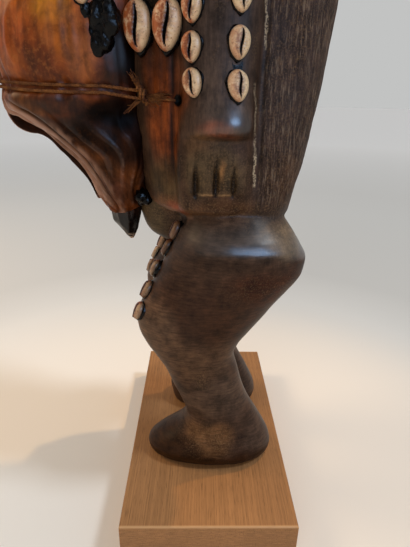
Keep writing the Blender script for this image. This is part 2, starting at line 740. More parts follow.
def new_finish(name, **sockets):
    """A material with its shader's even values set, its tree, and each point's place on the object."""
    material = bpy.data.materials.new(name)
    material.use_nodes = True
    tree = material.node_tree
    for key, value in sockets.items():
        tree.nodes["Principled BSDF"].inputs[key.replace("_", " ")].default_value = value
    return material, tree, fed(tree, "ShaderNodeTexCoord", output="Object")


def completed(material, links, *bumps):
    """The material with its shader's sockets linked, and its bumps: each a strength, depth and height."""
    tree = material.node_tree
    normal = {}
    for strength, depth, height in bumps:
        sockets = {"Strength": strength, "Distance": depth, "Height": height, **normal}
        normal = {"Normal": fed(tree, "ShaderNodeBump", sockets)}
    for socket, source in {**links, **normal}.items():
        tree.links.new(source, tree.nodes["Principled BSDF"].inputs[socket])
    return material


def worn_edges(tree, toned, parts, patch, speck):
    """Pale broken lines where the arms' edges are rubbed, laid over a colour."""
    outside = spread(tree, reckoned(tree, "ABSOLUTE", parts[0]), 0.052, 0.056)
    broken = spread(tree, speck, 0.4, 0.54)
    astray = reckoned(tree, "MULTIPLY_ADD", patch, 0.006, parts[1])
    astray = reckoned(tree, "SUBTRACT", astray, 0.003)
    for low, high, y_low, y_high, half_width, strength in WORN_LINES:
        line = spread(tree, parts[2], STAND + low / 1000, STAND + high / 1000, y_low / 1000, y_high / 1000)
        line = soft_band(tree, astray, line, half_width / 1000, 0.0007)
        run = soft_band(tree, parts[2], STAND + (low + high) / 2000, (high - low) / 2000, 0.002)
        for mask in (run, outside, broken, strength):
            line = reckoned(tree, "MULTIPLY", line, mask)
        toned = tinted(tree, line, toned, "#c0ad92")
    return toned


def oiled_hardwood(wood):
    """Dense hardwood, knife-carved and oiled: dark with a satin skin, and dry open grain on the back."""
    material, tree, place = new_finish(
        "oiled carved hardwood", IOR=1.5, Specular_IOR_Level=0.12, Coat_Roughness=0.36, Coat_IOR=1.75
    )
    dry, dust, rubbed = put(tree, "ShaderNodeSeparateColor", {0: stored(tree, "wear")}).outputs[:3]
    parts = put(tree, "ShaderNodeSeparateXYZ", {0: place}).outputs
    # Grain lines are about 1.6 mm wide and 13 mm long.
    # Knife streaks are 1.5 mm apart and run level on the legs
    grain = noise(tree, place, (620, 620, 78), 5.0, 0.7)
    streak = noise(tree, place, (90, 90, 640), 4.0, 0.65, Rotation=(0.12, 0, 0))
    above_hip = spread(tree, parts[2], STAND + 0.236, STAND + 0.262)
    streak = between(tree, above_hip, streak, noise(tree, place, (420, 420, 50), 5.0, 0.7))
    # Stains are about 12 mm across and specks of dust 1.3 mm
    patch = noise(tree, place, 85.0, 7.0, 0.66)
    speck = noise(tree, place, 780.0, 3.0, 0.6)
    toned = shaded(tree, stored(tree, "stain"), spread(tree, patch, 0.3, 0.7, 0.42, 1.62))
    knifed = spread(tree, streak, 0.3, 0.7, 0.56, 1.46)
    lined = spread(tree, grain, 0.36, 0.62, 0.28, 1.5)
    toned = shaded(tree, toned, between(tree, dry, knifed, lined), 0.9)
    # Dry raised fibres of the weathered back catch the light
    fibre = reckoned(tree, "MULTIPLY", spread(tree, grain, 0.53, 0.68, 0.0, 0.8), dry)
    toned = tinted(tree, fibre, toned, "#8d7c6a")
    chalk = reckoned(tree, "MULTIPLY", spread(tree, speck, 0.5, 0.7, 0.0, 0.8), dust)
    toned = tinted(tree, chalk, toned, hex_of(wood.dust_colour))
    toned = worn_edges(tree, toned, parts, patch, speck)
    # The peg hole in each flank is black inside, 2.9 mm in half width and 4 mm in half height
    wide, tall = 345.0, 250.0
    beside = reckoned(tree, "MULTIPLY_ADD", parts[1], wide, -wide * PEG_HOLE_Y / 1000)
    above = reckoned(tree, "MULTIPLY_ADD", parts[2], tall, -tall * (STAND + PEG_HOLE_Z / 1000))
    off = fed(tree, "ShaderNodeCombineXYZ", {0: beside, 1: above})
    off = fed(tree, "ShaderNodeVectorMath", {0: off}, output="Value", operation="LENGTH")
    toned = tinted(tree, spread(tree, off, 0.85, 1.15, 1.0, 0.0), toned, "#060403")
    rough = between(tree, dry, spread(tree, patch, 0.3, 0.7, 0.34, 0.52), 0.72)
    rough = between(tree, rubbed, rough, 0.3)
    # Where hands have rubbed it, the oil has built up a polished skin
    links = {"Base Color": toned, "Roughness": rough, "Coat Weight": rubbed}
    open_grain = (spread(tree, dry, 0.0, 1.0, 0.06, 0.8), 0.0012, grain)
    return completed(material, links, open_grain, (0.16, 0.0006, streak), (0.14, 0.0006, speck))


def planed_oak(plinth):
    """Oak, planed and lightly oiled: fine straight grain, short dark pores, and end grain at its ends."""
    material, tree, place = new_finish("planed oiled oak", IOR=1.5, Specular_IOR_Level=0.25)
    parts = put(tree, "ShaderNodeSeparateXYZ", {0: place}).outputs
    light = linear(hex_of(plinth.oak_colour))
    dark = [c * 0.72 for c in light[:3]] + [1]
    # Growth lines are about 1 mm apart and run along x; pores are 0.5 mm wide and 14 mm long
    bend = fed(tree, "ShaderNodeTexNoise", {"Vector": place, "Scale": 9.0}, output="Color")
    bent = fed(tree, "ShaderNodeVectorMath", {0: bend, 1: (0.0, 0.005, 0.009)}, operation="MULTIPLY")
    bent = fed(tree, "ShaderNodeVectorMath", {0: place, 1: bent}, operation="ADD")
    growth = noise(tree, bent, (5, 1050, 90), 3.0, 0.6)
    pore = spread(tree, noise(tree, place, (70, 1900, 900)), 0.56, 0.68, 1.0, 0.5)
    ends = noise(tree, bent, (0, 120, 900), 3.0, Location=(0, 0, 0.02))
    normal = fed(tree, "ShaderNodeSeparateXYZ", {0: fed(tree, "ShaderNodeTexCoord", output="Normal")})
    end = spread(tree, reckoned(tree, "ABSOLUTE", normal), 0.6, 0.9)
    line = spread(tree, between(tree, end, growth, ends), 0.36, 0.66)
    toned = fed(tree, "ShaderNodeMix", {0: line, 6: dark, 7: light}, output=2, data_type="RGBA")
    toned = shaded(tree, toned, spread(tree, noise(tree, place, 14.0), 0.3, 0.7, 0.9, 1.08))
    toned = shaded(tree, toned, pore, 0.8)
    toned = shaded(tree, toned, spread(tree, end, 0.0, 1.0, 1.0, 1.02))
    # The top edges are rubbed pale
    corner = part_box("plinth")[1]
    near_end = spread(tree, reckoned(tree, "ABSOLUTE", parts[0]), corner.x - 0.0022, corner.x - 0.0006)
    near_top = spread(tree, parts[2], corner.z - 0.0026, corner.z - 0.0004)
    toned = tinted(tree, reckoned(tree, "MULTIPLY", near_end, near_top), toned, "#c99c6c")
    links = {"Base Color": toned, "Roughness": spread(tree, growth, 0.0, 1.0, 0.5, 0.64)}
    return completed(material, links, (0.18, 0.0006, between(tree, 0.5, line, pore)))


def dried_hide(hide):
    """Stiff dried hide, rubbed and greased: cloudy orange-brown with a satin skin and fine follicles."""
    material, tree, place = new_finish(
        "greased dried hide", IOR=1.46, Specular_IOR_Level=0.06, Coat_Roughness=0.4, Coat_IOR=1.5
    )
    edge, grime, rubbed = put(tree, "ShaderNodeSeparateColor", {0: stored(tree, "wear")}).outputs[:3]
    # Clouds are about 16 mm across, fine wear 3 mm, and follicles 1 mm apart
    cloud = noise(tree, place, 62.0, 6.0, 0.6, 0.8)
    fine = noise(tree, place, 310.0, 5.0, 0.65)
    follicle = fed(tree, "ShaderNodeTexVoronoi", {"Vector": place, "Scale": 950.0}, feature="F1")
    toned = shaded(tree, stored(tree, "stain"), spread(tree, cloud, 0.32, 0.68, 0.55, 1.55))
    # Streaks about 8 mm wide run down the hide where it was smoked and greased
    down = noise(tree, place, (125, 125, 22), 4.0, 0.6)
    toned = shaded(tree, toned, spread(tree, down, 0.35, 0.65, 0.6, 1.36))
    worn = reckoned(tree, "MULTIPLY", spread(tree, fine, 0.5, 0.7, 0.0, 0.4), rubbed)
    toned = tinted(tree, worn, toned, hex_of(hide.worn_colour))
    toned = tinted(tree, edge, toned, hex_of(hide.edge_colour))
    toned = shaded(tree, toned, spread(tree, grime, 0.0, 1.0, 1.0, 0.12))
    rough = between(tree, grime, spread(tree, cloud, 0.3, 0.7, 0.3, 0.5), 0.6)
    # The grease shines only where no grime lies on it
    greased = spread(tree, grime, 0.02, 0.3, 0.34, 0.0)
    links = {"Base Color": toned, "Roughness": rough, "Coat Weight": greased}
    return completed(material, links, (0.22, 0.001, fine), (0.1, 0.0004, follicle))


def black_horn():
    """Black horn, hard and polished by handling, with long fine ridges and a pale chipped point."""
    material, tree, place = new_finish("polished black horn", IOR=1.54, Specular_IOR_Level=0.3)
    # Ridges are about 1 mm apart
    ridge = noise(tree, place, (1100, 1100, 90), 3.0)
    toned = shaded(tree, stored(tree, "stain"), spread(tree, ridge, 0.3, 0.7, 0.6, 1.6))
    links = {"Base Color": toned, "Roughness": spread(tree, ridge, 0.0, 1.0, 0.1, 0.32)}
    return completed(material, links, (0.2, 0.0006, ridge))


def twisted_fibre(cord):
    """Plant fibre, hand-twisted and dry: dull red-brown with paler loose hairs."""
    material, tree, place = new_finish("twisted plant fibre", IOR=1.45, Specular_IOR_Level=0.2)
    # Fibres are about 0.7 mm wide, and the cord's colour changes every 8 mm
    fine = noise(tree, place, 1400.0, 3.0)
    broad = spread(tree, noise(tree, place, 130.0, 3.0), 0.35, 0.7)
    toned = tinted(tree, broad, linear(hex_of(cord.fibre_colour)), hex_of(cord.frayed_colour))
    toned = shaded(tree, toned, spread(tree, fine, 0.3, 0.7, 0.5, 1.3))
    links = {"Base Color": toned, "Roughness": spread(tree, fine, 0.0, 1.0, 0.7, 0.95)}
    return completed(material, links, (0.5, 0.0005, fine))


def set_pitch(pitch):
    """Boiled resin pitch, set hard: glossy black with a brown cast where it is thin or dusty."""
    material, tree, place = new_finish("set resin pitch", IOR=1.56, Specular_IOR_Level=0.13)
    # Its surface rises and sinks about every 4 mm
    cloud = noise(tree, place, 240.0, 4.0)
    toned = tinted(tree, spread(tree, cloud, 0.5, 0.72), linear(hex_of(pitch.colour)), "#120b08")
    links = {"Base Color": toned, "Roughness": spread(tree, cloud, 0.35, 0.7, 0.12, 0.42)}
    return completed(material, links, (0.7, 0.0014, cloud))


def aged_cowrie(shells):
    """Cowrie shell, old and naturally glazed: cream with tan stains, a dark slit and fine teeth."""
    material, tree, place = new_finish("aged cowrie glaze", IOR=1.53, Specular_IOR_Level=0.4)
    on_shell = stored(tree, "on_shell", "Vector")
    across, length, depth = put(tree, "ShaderNodeSeparateXYZ", {0: on_shell}).outputs
    chance = stored(tree, "shade", "Fac")
    # Stains are about 5 mm across and specks 1.2 mm
    cloud = noise(tree, place, 210.0, 4.0, 0.6)
    speck = noise(tree, place, 800.0)
    # The left lip is stained warmer than the right one
    left = spread(tree, across, 0.2, 0.0, 0.28, 1.0)
    warm = reckoned(tree, "MULTIPLY", spread(tree, cloud, 0.34, 0.57, 0.3, 1.15), left)
    warm = reckoned(tree, "MULTIPLY", warm, chance, use_clamp=True)
    toned = tinted(tree, warm, linear(hex_of(shells.cream_colour)), hex_of(shells.stain_colour))
    toned = tinted(tree, spread(tree, speck, 0.6, 0.7, 0.0, 0.7), toned, "#7a3d1c")
    # The flanks and the ends are dirtier than the crown
    toned = shaded(tree, toned, spread(tree, depth, 0.1, 0.85, 0.3, 1.0))
    # Shells low on the thighs are grimier than the rest
    toned = shaded(tree, toned, linear("#6e5230"), spread(tree, chance, 1.0, 1.9))
    # Old dirt sits on the lips beside the slit
    rim = spread(tree, cloud, 0.42, 0.6, 0.1, 0.8)
    rim = reckoned(tree, "MULTIPLY", rim, spread(tree, depth, 0.9, 1.02))
    toned = tinted(tree, rim, toned, "#54280f")
    toned = tinted(tree, spread(tree, depth, 1.0, 1.25), toned, "#120a06")
    # Twelve teeth stand along the lips
    teeth = reckoned(tree, "SINE", reckoned(tree, "MULTIPLY", length, 75.0))
    teeth = reckoned(tree, "MULTIPLY", teeth, spread(tree, depth, 0.8, 1.0))
    links = {"Base Color": toned, "Roughness": spread(tree, cloud, 0.0, 1.0, 0.3, 0.5)}
    return completed(material, links, (0.35, 0.0004, teeth), (0.1, 0.0005, cloud))


def seen_outwards(points, normals):
    """How far out each point lies, its y and z, and how far it faces outwards."""
    return *outwards(points).T, facing_out(points, normals)


def lid_line(across, y, z, width):
    """The line where each pair of closed lids meets, sagging a little."""
    line = 630.8 - 2.2 * np.clip(1 - ((across - 23.5) / 11) ** 2, 0, 1)
    return hump(z, line, width) * stretch(across, 12, 15, 30, 33) * ramp(-y, 10, 16)


def arm_groove(z, sideways):
    """Where the groove runs that parts each arm from the back."""
    return stretch(z, 262, 276, 430, 450) * ramp(sideways, 0.3, 0.6)


def fluted_flank(across, z, sideways, low, full):
    """Where the flank lies open between the hide and the arm, from a height upwards."""
    return ramp(sideways, 0.2, 0.5) * ramp(across, 46, 52) * stretch(z, low, full, 405, 430)


def flute_lines(points):
    """Each point's y, wavering a little, so that the knife's flutes along it aren't straight."""
    return points[:, 1] + 1.2 * mottle(points, (30, 30, 34), 7)


def finger_gap(z, low, high, half_width):
    """How far up the gap between two fingers each height is, from 0 to 1, and the gap's half width."""
    t = np.clip((z - low) / (high - low), 0, 1)
    return t, half_width * np.sin(math.pi * t**0.72)


def carved_wood(points, normals, wood):
    """The figure's points with the knife's traces, the fingers and the weathered back."""
    for (x, y, z), half_sizes in HOLLOWS:
        for side in (1, -1):
            points = pressed(points, normals, (side * x, y, z), half_sizes)
    points = pressed(points, normals, MOUTH_LINE, (15, 4, 1.0))
    across, y, z, sideways = seen_outwards(points, normals)
    # The face is smoother than the body
    marks = mottle(points, (16, 16, 26), 3) + 0.4 * mottle(points, (6, 6, 9), 4)
    move = wood.tool_marks * marks * (1 - 0.7 * ramp(z, 560, 575))
    grain = ridged(mottle(points, (4.2, 4.2, 46), 5)) - 0.4 + 0.5 * mottle(points, (2.6, 2.6, 22), 6)
    move += ramp(y, 25, 36) * stretch(z, 244, 262, 498, 512) * wood.grain_depth * grain
    # The wrist bone swells above the back of the hand and ends in a step
    bone = hump(y, 11, 14) * hump(z, WRIST_Z, 11) * ramp(z, 302.5, 306) * ramp(across, 66, 73)
    move += 3.4 * bone * sideways
    move -= 1.6 * hump(y, 31.5, 2.2) * arm_groove(z, sideways)
    line = flute_lines(points)
    flutes = 1.5 * hump(line, -46.5, 3.2) + 1.2 * hump(line, -31.5, 1.7) + 0.7 * hump(line, -38.2, 1.2)
    move -= fluted_flank(across, z, sideways, 258, 286) * flutes
    # The fingers end in a low step above the hip
    hand = ramp(sideways, 0.5, 0.8) * ramp(across, 64, 67) * stretch(y, -23, -19, 18, 23)
    edge = 262.3 + 1.0 * mottle(points, (9, 9, 9), 8)
    move -= 1.9 * hand * (1 - ramp(z, edge - 0.9, edge + 0.9)) * ramp(z, 247, 252)
    move -= 1.3 * lid_line(across, y, z, 0.9)
    points = points + normals * move[:, None]
    inward = np.zeros(len(points))
    for middle, low, high, half_width, depth in FINGER_GAPS:
        t, width = finger_gap(z, low, high, half_width)
        leaf = np.clip(1 - np.abs(y - middle) / (width + 0.01), 0, 1) ** 0.6
        leaf = leaf * np.clip(np.sin(math.pi * t**0.6) * 1.5, 0, 1)
        inward = strongest(inward, depth * leaf * ramp(sideways, 0.4, 0.7) * ramp(across, 64, 67))
    points[:, 0] -= np.sign(points[:, 0]) * inward
    # The soles stay flat on the plinth
    points[:, 2] = np.maximum(points[:, 2], 0)
    return points


def wood_wear(points, normals):
    """How dry, dusty and rubbed the wood is at each point."""
    across, y, z, sideways = seen_outwards(points, normals)
    upwards = normals[:, 2]
    broad = mottle(points, (14, 14, 22), 21)
    fine = mottle(points, (5, 5, 8), 22)
    # The whole back is dry, and the backs of the thighs a little
    dry = strongest(
        ramp(y, 27, 38) * ramp(z, 240, 268) * (1 - 0.7 * ramp(z, 480, 525)) * (0.8 + 0.3 * broad),
        0.35 * ramp(y, 30, 50) * stretch(z, 205, 225, 244, 250),
    )
    # Dust lies in the pores, on the hands, hips, groin and ankles, below the knees and behind the thighs
    dust = strongest(
        (0.12 + 0.26 * ramp(z, 225, 250)) * ramp(broad + fine, 0.1, 0.9),
        0.75 * hump(z, 278, 20) * hump(y, 2, 22) * ramp(across, 58, 64),
        0.6 * hump(z, 252, 10) * ramp(across, 30, 50),
        0.65 * hump(z, 240, 18) * (1 - ramp(across, 26, 34)),
        hump(y, 4, 26) * hump(z, 30, 16) * ramp(across, 40, 56) * (0.55 + 0.45 * ramp(broad, -0.5, 0.4)),
        0.8 * hump(y, -7, 8) * hump(z, 96, 10) * ramp(across, 52, 60),
        0.38 * hump(z, 192, 14) * ramp(y, -10, 30),
        0.6 * dry,
    )
    # Hands have rubbed the wrists, the tops of the thighs and the head
    thigh = hump(z, 218, 15) * ramp(y, -34, 0) * ramp(across, 28, 48) * ramp(upwards, 0.05, 0.35)
    rubbed = strongest(
        hump(z, WRIST_Z, 10) * hump(y, 9, 18) * ramp(across, 66, 73),
        0.9 * thigh * (0.85 + 0.3 * broad),
        0.3 * ramp(z, 520, 540),
    )
    return dry, dust, rubbed * ramp(sideways + upwards, 0.2, 0.5)


def wood_stain(points, normals, wood):
    """The wood's colour at each point, with pale rubbed arrises and dark seams."""
    colour = painted(outwards(points), hex_of(wood.wood_colour), WOOD_ZONES, 31)
    across, y, z, sideways = seen_outwards(points, normals)
    tips = hump(z, 263.2, 0.9) * ramp(across, 64, 67) * stretch(y, -14, -10, 14, 17)
    tips = 0.7 * tips * ramp(mottle(points, (5, 5, 5), 34), -0.6, 0.2)
    chip = hump(y - 0.12 * (z - 280), 4.6, 1.3) * hump(z, 280.5, 5) * ramp(across, 66, 69)
    colour = coloured(coloured(colour, tips, "#a5825c"), chip, "#b07c4c")
    flank = fluted_flank(across, z, sideways, 262, 290)
    line = flute_lines(points)
    from_hole = np.hypot(y - PEG_HOLE_Y, (z - PEG_HOLE_Z) * 0.8)
    from_pit = np.linalg.norm((outwards(points) - THIGH_PIT) / (8, 7, 6), axis=1)
    seams = [
        0.6 * hump(y, 33, 1.6) * arm_groove(z, sideways),
        hump(from_hole, 0, 3.9) * ramp(across, 44, 50),
        0.8 * hump(y, 33, 4.5) * hump(z, 350, 6) * ramp(across, 40, 50),
        hump(from_pit, 0, 0.9),
        0.6 * flank * hump(line, -40.5, 1.5) * ramp(mottle(points, (9, 9, 26), 35), -0.3, 0.4),
        flank * strongest(hump(y, -47, 3.4), hump(line, -31.5, 2.0)),
        0.5 * lid_line(across, y, z, 0.8),
    ]
    for middle, low, high, half_width, _ in FINGER_GAPS:
        t, width = finger_gap(z, low, high, half_width)
        seams.append(hump(y, middle, (width + 0.4) * 0.8) * ramp(across, 62, 66) * (t > 0) * (t < 1))
    return coloured(colour, 0.92 * strongest(*seams), "#0d0907")


def colour_setting(name, description, code):
    """A colour that starts as a hex code."""
    return FloatVectorProperty(
        name=name, description=description, subtype="COLOR", size=3, min=0, max=1, default=linear(code)[:3]
    )


def size_setting(name, description, default, least, most, **kind):
    """A number between two others."""
    return FloatProperty(name=name, description=description, default=default, min=least, max=most, **kind)


def length_setting(*says):
    """A length in metres."""
    return size_setting(*says, subtype="DISTANCE", unit="LENGTH")


def count_setting(name, description, default, least, most):
    """A whole number between two others."""
    return IntProperty(name=name, description=description, default=default, min=least, max=most)


class FigureWood(bpy.types.PropertyGroup):
    """Sizes and colours of the carved figure."""

    wood_colour: colour_setting("Wood", "Main colour of the oiled wood", WOOD_BASE)
    dust_colour: colour_setting("Dust", "Colour of the dry dust in the pores", "#8a6a48")
    tool_marks: size_setting("Tool Marks", "Depth of the knife's marks, in millimetres", 0.28, 0, 2)
    grain_depth: size_setting("Open Grain", "Depth of the grain on the back, in millimetres", 0.45, 0, 2)
    spacing: length_setting("Spacing", "Spacing of the surface's points", 0.0016, 0.0008, 0.01)
    triangles: count_setting("Most Triangles", "Triangles that the figure may have", 186000, 20000, 198000)


class OakPlinth(bpy.types.PropertyGroup):
    """Colour of the plinth."""

    oak_colour: colour_setting("Oak", "Main colour of the oak", "#ab7b4e")


class HideBundle(bpy.types.PropertyGroup):
    """Sizes and colours of the hide."""

    hide_colour: colour_setting("Hide", "Main colour of the hide", HIDE_BASE)
    worn_colour: colour_setting("Worn", "Colour where the hide is worn", "#b06a30")
    edge_colour: colour_setting("Edge", "Colour of the rolled edges", "#a9806a")
    edge_radius: length_setting("Edge Radius", "Radius of the rolled edges", 0.0035, 0.001, 0.006)
    fold_depth: size_setting("Folds", "Depth of the small folds, in millimetres", 1.1, 0, 4)


class TieCord(bpy.types.PropertyGroup):
    """Sizes and colours of the tie cord."""

    fibre_colour: colour_setting("Fibre", "Main colour of the fibre", "#502c14")
    frayed_colour: colour_setting("Frayed", "Colour of loose fibres", "#8e5a2c")
    radius: length_setting("Radius", "Radius of the cord", 0.0016, 0.0005, 0.003)
    lay: length_setting("Lay", "Length of one full twist", 0.0075, 0.002, 0.05)


class BlackPitch(bpy.types.PropertyGroup):
    """Colour of the pitch."""

    colour: colour_setting("Pitch", "Colour of the pitch", "#060505")


class CowrieShells(bpy.types.PropertyGroup):
    """Colours and detail of the cowrie shells."""

    cream_colour: colour_setting("Cream", "Clean glaze of the shells", "#edd2ab")
    stain_colour: colour_setting("Stain", "Tan stains on the shells", "#b06034")
    columns: count_setting("Columns", "Points round one shell", 40, 16, 64)


class StudioStage(bpy.types.PropertyGroup):
    """Colours and light of the stage."""

    floor_colour: colour_setting("Floor", "Colour of the floor near the plinth", "#f0ece6")
    distance_colour: colour_setting("Distance", "Colour of the floor far away", "#f4f4f2")
    light_strength: size_setting("Light", "Strength of the lights against their first setting", 1.0, 0, 5)


class FIGURE_OT_carve(bpy.types.Operator):
    """Carve the wooden figure"""

    bl_idname = "power_figure.carve"
    bl_label = "Carve Figure"

    def execute(self, context):
        wood = context.scene.figure_wood
        grids = [station_grid(TRUNK, 1.6, 220), station_grid(GROIN, 1.6, 80), station_grid(NECK, 2, 80)]
        grids += [station_grid(HEAD, 1.5, 150), station_grid(NOSE, 1.5, 36)]
        grids += [station_grid(leg, 1.5, 150) for leg in (LEG, right_leg())]
        grids += [station_grid(arm, 1.5, 120) for arm in (ARM, mirrored(ARM))]
        grids += [egg_grid(*lip) for lip in LIPS]
        for (x, y, z), half_sizes, turn in FACE_SIDES:
            grids += [egg_grid((side * x, y, z), half_sizes, side * turn) for side in (1, -1)]
        spacing = wood.spacing * 1
        carve = functools.partial(carved_wood, wood=wood)
        mesh = carved("carved_figure", grids, spacing, wood.triangles, carve)
        points, normals = on_skin(mesh)
        keep_colours(mesh, "stain", wood_stain(points, normals, wood))
        keep_masks(mesh, "wear", *wood_wear(points, normals))
        finished(mesh, "carved_figure", oiled_hardwood(wood), ["figure"])
        return {"FINISHED"}


class FIGURE_OT_plinth(bpy.types.Operator):
    """Finish the oak plinth"""

    bl_idname = "power_figure.plinth"
    bl_label = "Finish Plinth"

    def execute(self, context):
        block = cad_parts["plinth"]
        block.data.materials.clear()
        block.data.materials.append(planed_oak(context.scene.oak_plinth))
        return {"FINISHED"}


def at_heights(heights, values, z):
    """A curve's value at the height of each point of a grid."""
    return smooth_curve(heights, values[:, None], z.ravel()).reshape(z.shape)


def bundle_grid():
    """The skin of the hide, drawn forward to its two front edges and parted between them."""
    bundle = station_grid(HIDE, 1.0, 300)
    x, y, z = (bundle[..., i] for i in range(3))
    edges = [np.array(route[::-1], float) for route in (NEAR_EDGE, FAR_EDGE)]
    near, far = (at_heights(edge[:, 2], edge[:, 1], z) for edge in edges)
    table = np.array(HIDE, float)
    front, widest = (at_heights(table[:, 0], table[:, column], z) for column in (3, 5))
    forward = np.clip((widest - y) / (widest - front), 0, 1)
    reach = ramp(-x, -9, 9) * (far - near) + near + 1.5
    y += forward**3 * stretch(z, 244, 252, 418, 432) * (reach - front)
    parting = (1 - ramp(np.abs(x + 0.5), 3.5, 8)) * ramp(forward, 0.6, 0.9) * stretch(z, 246, 256, 405, 425)
    y += parting * (8 + 6 * hump(z, 308, 12))
    return bundle


def trunk_front(x, z):
    """The y of the trunk's front at each x and height."""
    table = np.array(TRUNK, float)
    _, outer, front, _, widest, power = smooth_curve(table[:, 0], table[:, 1:], z).T
    part = np.clip(np.abs(x) / outer, 0, 0.999)
    return widest - (widest - front) * (1 - part**power) ** (1 / power)


def rim_gap(points):
    """How far each point is from the rolled edge of its own side, seen from that side."""
    gap = np.full(len(points), 1e9)
    for route, side in ((NEAR_EDGE, 1), (FAR_EDGE, -1)):
        line = smooth_route(route, 260)[:, 1:]
        own = np.flatnonzero(side * points[:, 0] >= 0)
        # The points are measured in blocks of 20,000 to save memory
        for part in np.array_split(own, len(own) // 20000 + 1):
            gap[part] = np.linalg.norm(points[part, None, 1:] - line[None], axis=2).min(axis=1)
    return gap


def fan_folds(points):
    """The folds that fan out from the hide's tip: each point's direction, distance and fold height."""
    ahead, up = FAN_Y - points[:, 1], points[:, 2] - FAN_Z
    fan = np.degrees(np.arctan2(up, ahead)) + 9 * mottle(points, (25, 25, 28), 42)
    return fan, np.hypot(ahead, up), ridged(np.abs(np.sin(np.radians(fan * 180 / 11.5))) ** 0.7)


def folded_hide(points, normals, hide):
    """The hide's points with folds, puckers at the cord, a hollow under each knot and a rolled rim."""
    x, y, z = points.T
    beside = np.abs(x)
    front = ramp(-y, 60, 80)
    sides = ramp(beside, 7, 20)
    below = 1 - ramp(z, 314, 330)
    fan, reach, broad = fan_folds(points)
    fine = ridged(np.sin(np.radians(fan * 180 / 4.3 + 40)))
    folds = (0.9 * broad + 0.3) * ramp(reach, 12, 34) * (1 - 0.55 * ramp(reach, 60, 105))
    folds += 0.4 * fine * stretch(reach, 16, 34, 55, 80)
    move = 0.9 * mottle(points, (24, 24, 34), 41) + hide.fold_depth * folds * below * sides
    # Above the cord the folds run upwards, round a line 74 mm in front of the middle
    turn, run = np.arctan2(x, -(y + 74)), np.hypot(x, y + 74)
    upper = ridged(mottle(np.stack([turn * 34, z * 0.16, run * 0.05], 1), (4.2, 4.5, 5.5), 42))
    move += 0.8 * hide.fold_depth * upper * (1 - below) * front
    from_cord = np.abs(z - 336.5 + 6.5 * ramp(y, -150, -60))
    puckers = np.sin(turn * 24 + 2.2 * mottle(points, (20, 20, 60), 43))
    move += puckers * np.exp(-from_cord / 11) * ramp(from_cord, 1.5, 5)
    # The lower flap swells again just under the cord at the front
    move += 2.2 * hump(z, 326, 5) * ramp(-y, 100, 125) * sides
    pleats = np.sin(turn * 15 + 2.5 * mottle(points, (22, 22, 40), 44))
    move += 2.0 * pleats * ramp(z, 392, 428) * front + 0.3 * mottle(points, (5, 5, 7), 45)
    hollow = hump(z, KNOT_HOLLOW_Z + 3 * mottle(points, (16, 16, 16), 47), 13)
    move -= 8.5 * hollow * hump(y, -70, 23) * ramp(beside, 26, 42)
    # The rim is rolled, with a groove behind it, a swelling and a second, broken groove
    gap = rim_gap(points)
    rim = -1.9 * hump(gap, 8.2, 2.0) * ramp(beside, 5, 8) + hump(gap, 13.0, 2.6) + 0.9 * hump(gap, 3.0, 2.6)
    rim -= 0.9 * hump(gap, 18.5, 2.2) * ramp(mottle(points, (12, 12, 12), 48), -0.7, 0.3)
    move += rim * stretch(z, 236, 250, 318, 330)
    points = points + normals * move[:, None]
    # The hide stays 0.7 mm clear of the trunk
    points[:, 1] = np.minimum(points[:, 1], trunk_front(points[:, 0], points[:, 2]) - 0.7)
    return points


def hide_wear(points):
    """How far each point of the hide is rolled edge, how grimy it is and how rubbed."""
    x, y, z = points.T
    beside = np.abs(x)
    gap = rim_gap(points)
    patchy = mottle(points, (4, 4, 9), 51)
    _, reach, ridge = fan_folds(points)
    folds = stretch(reach, 10, 26, 75, 115) * (1 - ramp(z, 308, 326)) * ramp(beside, 7, 14)
    # Grime lies in the parting, the folds and the rim's grooves, by the trunk, under the knots, in clouds
    grime = strongest(
        (1 - ramp(np.abs(x + 0.5), 4.5, 6.5)) * ramp(-y, 88, 96) * ramp(z, 244, 252),
        0.93 * ramp(y, -68, -55),
        0.85 * hump(z, KNOT_HOLLOW_Z, 12) * hump(y, -68, 24) * ramp(beside, 24, 38),
        0.5 * ramp(mottle(points, (19, 19, 15), 52), 0.1, 0.7) * (1 - ramp(z, 322, 334)),
        0.55 * hump(gap, 8.6, 1.5) * (1 - ramp(z, 318, 330)),
        0.45 * hump(gap, 18.5, 1.8) * (1 - ramp(z, 308, 322)),
        0.36 * folds * ramp(-ridge, -0.1, 0.8),
    )
    rolled = (1 - ramp(gap, 5.0, 8.6)) * (0.72 + 0.35 * patchy)
    rolled *= (1 - 0.85 * ramp(z, 318, 332)) * ramp(z, 240, 252)
    streak = strongest(
        0.55 * hump(gap, 13.0, 2.2) * (1 - ramp(z, 304, 318)) * ramp(patchy, -0.6, 0.4),
        0.3 * folds * ramp(ridge, 0.4, 0.9) * ramp(patchy, -0.5, 0.5) * (1 - ramp(reach, 45, 80)),
    )
    edge = np.clip(rolled + streak, 0, 1) * (1 - 0.9 * ramp(grime, 0.5, 0.8))
    rubbed = (0.35 + 0.65 * ramp(z, 330, 350)) * (1 - ramp(y, -92, -74)) * (1 - 0.8 * hump(z, 314, 14))
    return edge, grime, rubbed


class FIGURE_OT_hide(bpy.types.Operator):
    """Fold the hide"""

    bl_idname = "power_figure.hide"
    bl_label = "Fold Hide"

    def execute(self, context):
        hide = context.scene.hide_bundle
        rims = [tube_grid(route, hide.edge_radius * 1000) for route in (NEAR_EDGE, FAR_EDGE)]
        spacing = HIDE_VOXEL * 1
        fold = functools.partial(folded_hide, hide=hide)
        mesh = carved("folded_hide", [bundle_grid(), *rims], spacing, HIDE_TRIANGLES, fold)
        points, _ = on_skin(mesh)
        keep_colours(mesh, "stain", painted(outwards(points), hex_of(hide.hide_colour), HIDE_ZONES, 46))
        keep_masks(mesh, "wear", *hide_wear(points))
        finished(mesh, "folded_hide", dried_hide(hide), ["hide"])
        return {"FINISHED"}


